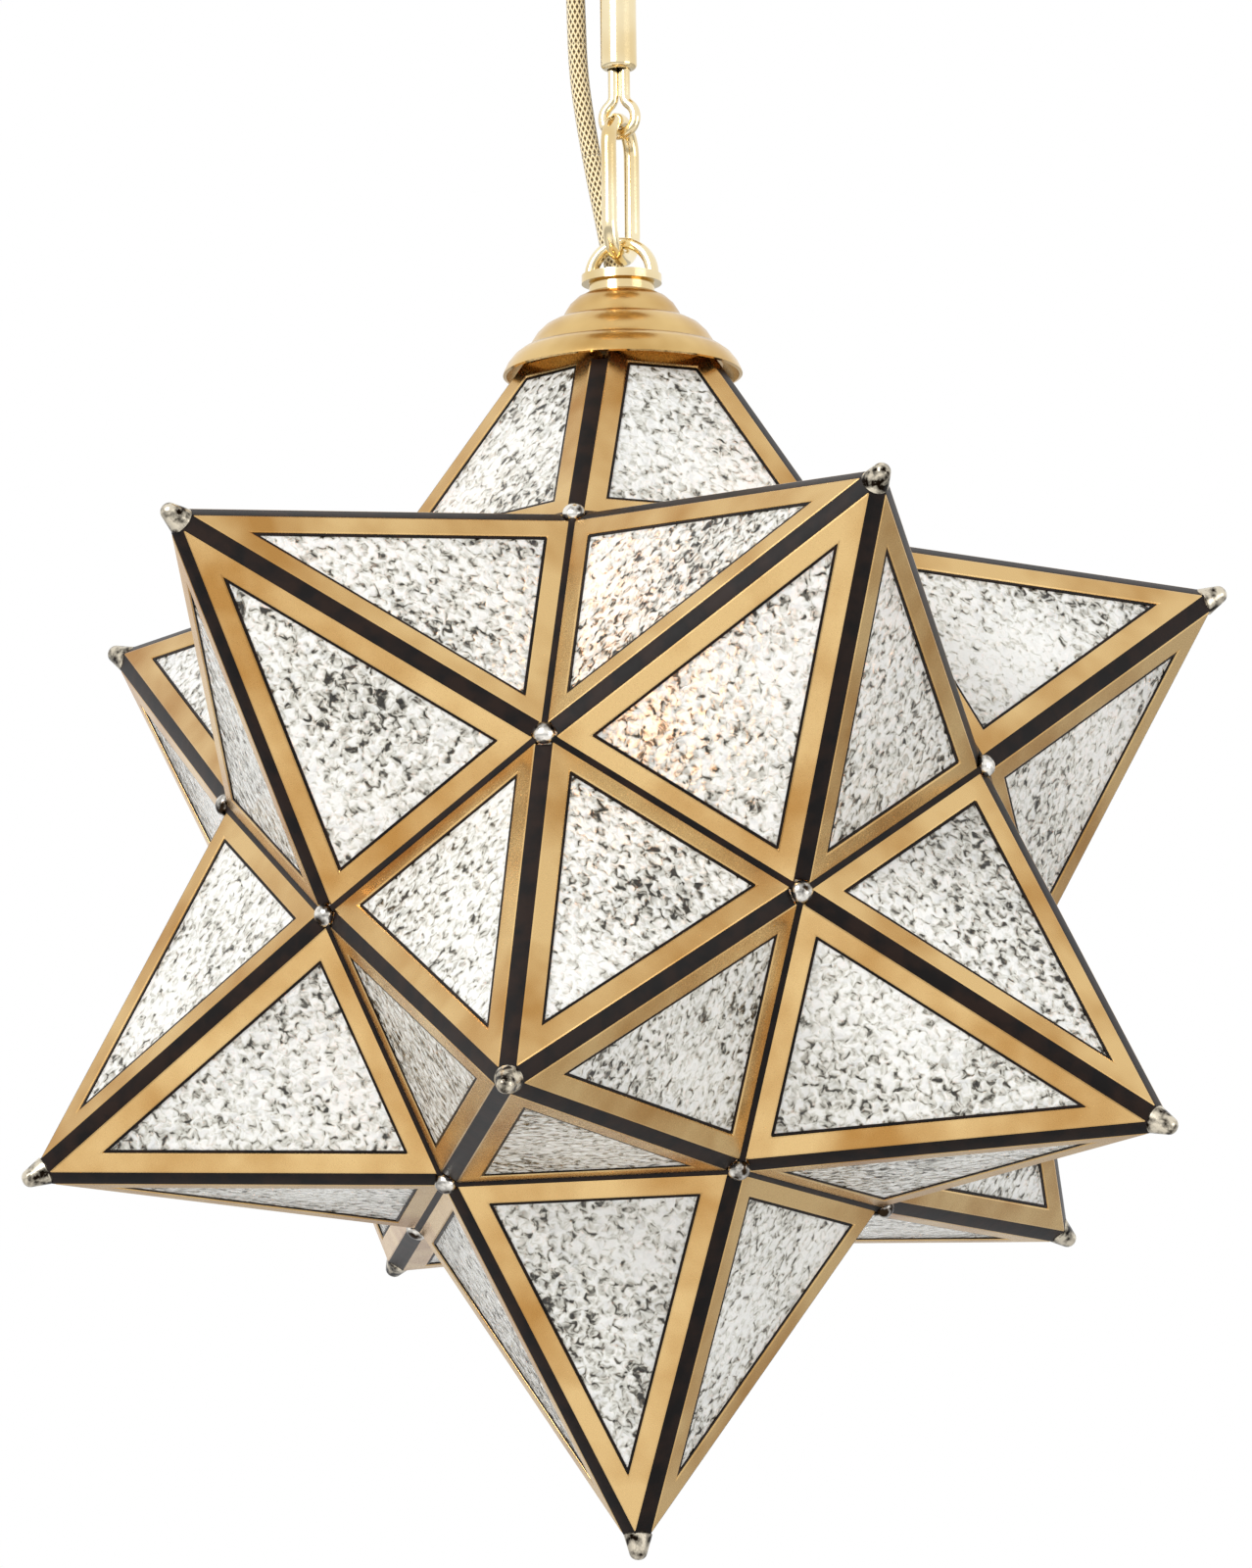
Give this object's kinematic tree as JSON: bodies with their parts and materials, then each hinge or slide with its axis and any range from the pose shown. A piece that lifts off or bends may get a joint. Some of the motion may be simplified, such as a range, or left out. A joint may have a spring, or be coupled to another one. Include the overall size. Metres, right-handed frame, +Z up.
{
  "type": "moravian star pendant",
  "caption": "Pendant light: a pointed star of hammered glass panes in brass came, hung on a short link chain with a textile cord under a ceiling canopy.",
  "frame": {"origin": "middle of the crossbar's slots, on the ceiling plane", "axes": "+Z up; +X along the crossbar and the loops' arches; the star is seen from -Y"},
  "size_m": [0.3102, 0.3084, 0.5013],
  "materials": {
    "fitting_brass": "satin, aged",
    "came_brass": "satin",
    "pane_glass": "hammered, clear",
    "solder": "dark patina over tin",
    "zinc_steel": "zinc plated",
    "lampholder": "phenolic",
    "screw_brass": "bright",
    "lamp_metal": "bright",
    "lamp_glass": "clear, warm",
    "filament": "glowing",
    "cord": "braided"
  },
  "bodies": {
    "ceiling_set": {"canopy": "fitting_brass", "crossbar": "zinc_steel", "crossbar_nut": "zinc_steel", "canopy_loop": "fitting_brass", "cord_to_ceiling": "cord", "cord_at_canopy": "cord"},
    "upper_ring": {"upper_ring": "fitting_brass"},
    "sleeve_link": {"link_wire": "fitting_brass", "link_sleeve": "fitting_brass", "cord_by_sleeve": "cord"},
    "lower_ring": {"lower_ring": "fitting_brass", "cord_by_ring": "cord"},
    "star": {"star_loop": "fitting_brass", "cap": "fitting_brass", "top_plate": "came_brass", "cap_strap": "zinc_steel", "strap_nut": "zinc_steel", "lampholder_cap": "lampholder", "lampholder_shell": "lampholder", "screw_shell": "screw_brass", "centre_contact": "screw_brass", "top_spike_frame": "came_brass", "top_spike_glass": "pane_glass", "bottom_spike_frame": "came_brass", "bottom_spike_glass": "pane_glass", "upper_spike_1_frame": "came_brass", "upper_spike_1_glass": "pane_glass", "lower_spike_1_frame": "came_brass", "lower_spike_1_glass": "pane_glass", "upper_spike_2_frame": "came_brass", "upper_spike_2_glass": "pane_glass", "lower_spike_2_frame": "came_brass", "lower_spike_2_glass": "pane_glass", "upper_spike_3_frame": "came_brass", "upper_spike_3_glass": "pane_glass", "lower_spike_3_frame": "came_brass", "lower_spike_3_glass": "pane_glass", "upper_spike_4_frame": "came_brass", "upper_spike_4_glass": "pane_glass", "lower_spike_4_frame": "came_brass", "lower_spike_4_glass": "pane_glass", "upper_spike_5_frame": "came_brass", "upper_spike_5_glass": "pane_glass", "lower_spike_5_frame": "came_brass", "lower_spike_5_glass": "pane_glass", "ridge_solder": "solder", "crease_solder": "solder", "valley_solder": "solder", "tip_solder": "solder", "cord_at_star": "cord", "cord_to_lampholder": "cord"},
    "bulb": {"lamp_base": "lamp_metal", "lamp_glass": "lamp_glass", "lamp_filament": "filament"}
  },
  "joints": [
    {"name": "upper_ring_swing", "type": "hinge", "parent": "ceiling_set", "child": "upper_ring", "pos_m": [0, 0, -0.0373], "axis": [1, 0, 0], "range_deg": [-40, 40], "deforming": ["cord_at_canopy"]},
    {"name": "sleeve_link_swing", "type": "hinge", "parent": "upper_ring", "child": "sleeve_link", "pos_m": [0, 0, -0.0699], "axis": [0, 1, 0], "range_deg": [-40, 40], "deforming": ["cord_by_sleeve"]},
    {"name": "lower_ring_swing", "type": "hinge", "parent": "sleeve_link", "child": "lower_ring", "pos_m": [0, 0, -0.12877], "axis": [1, 0, 0], "range_deg": [-40, 40], "deforming": ["cord_by_ring"]},
    {"name": "star_swing", "type": "hinge", "parent": "lower_ring", "child": "star", "pos_m": [0, 0, -0.16167], "axis": [0, 1, 0], "range_deg": [-20, 20], "deforming": ["cord_at_star"]},
    {"name": "bulb_turn", "type": "hinge", "parent": "star", "child": "bulb", "pos_m": [0, 0, -0.22], "axis": [0, 0, 1], "continuous": true}
  ]
}
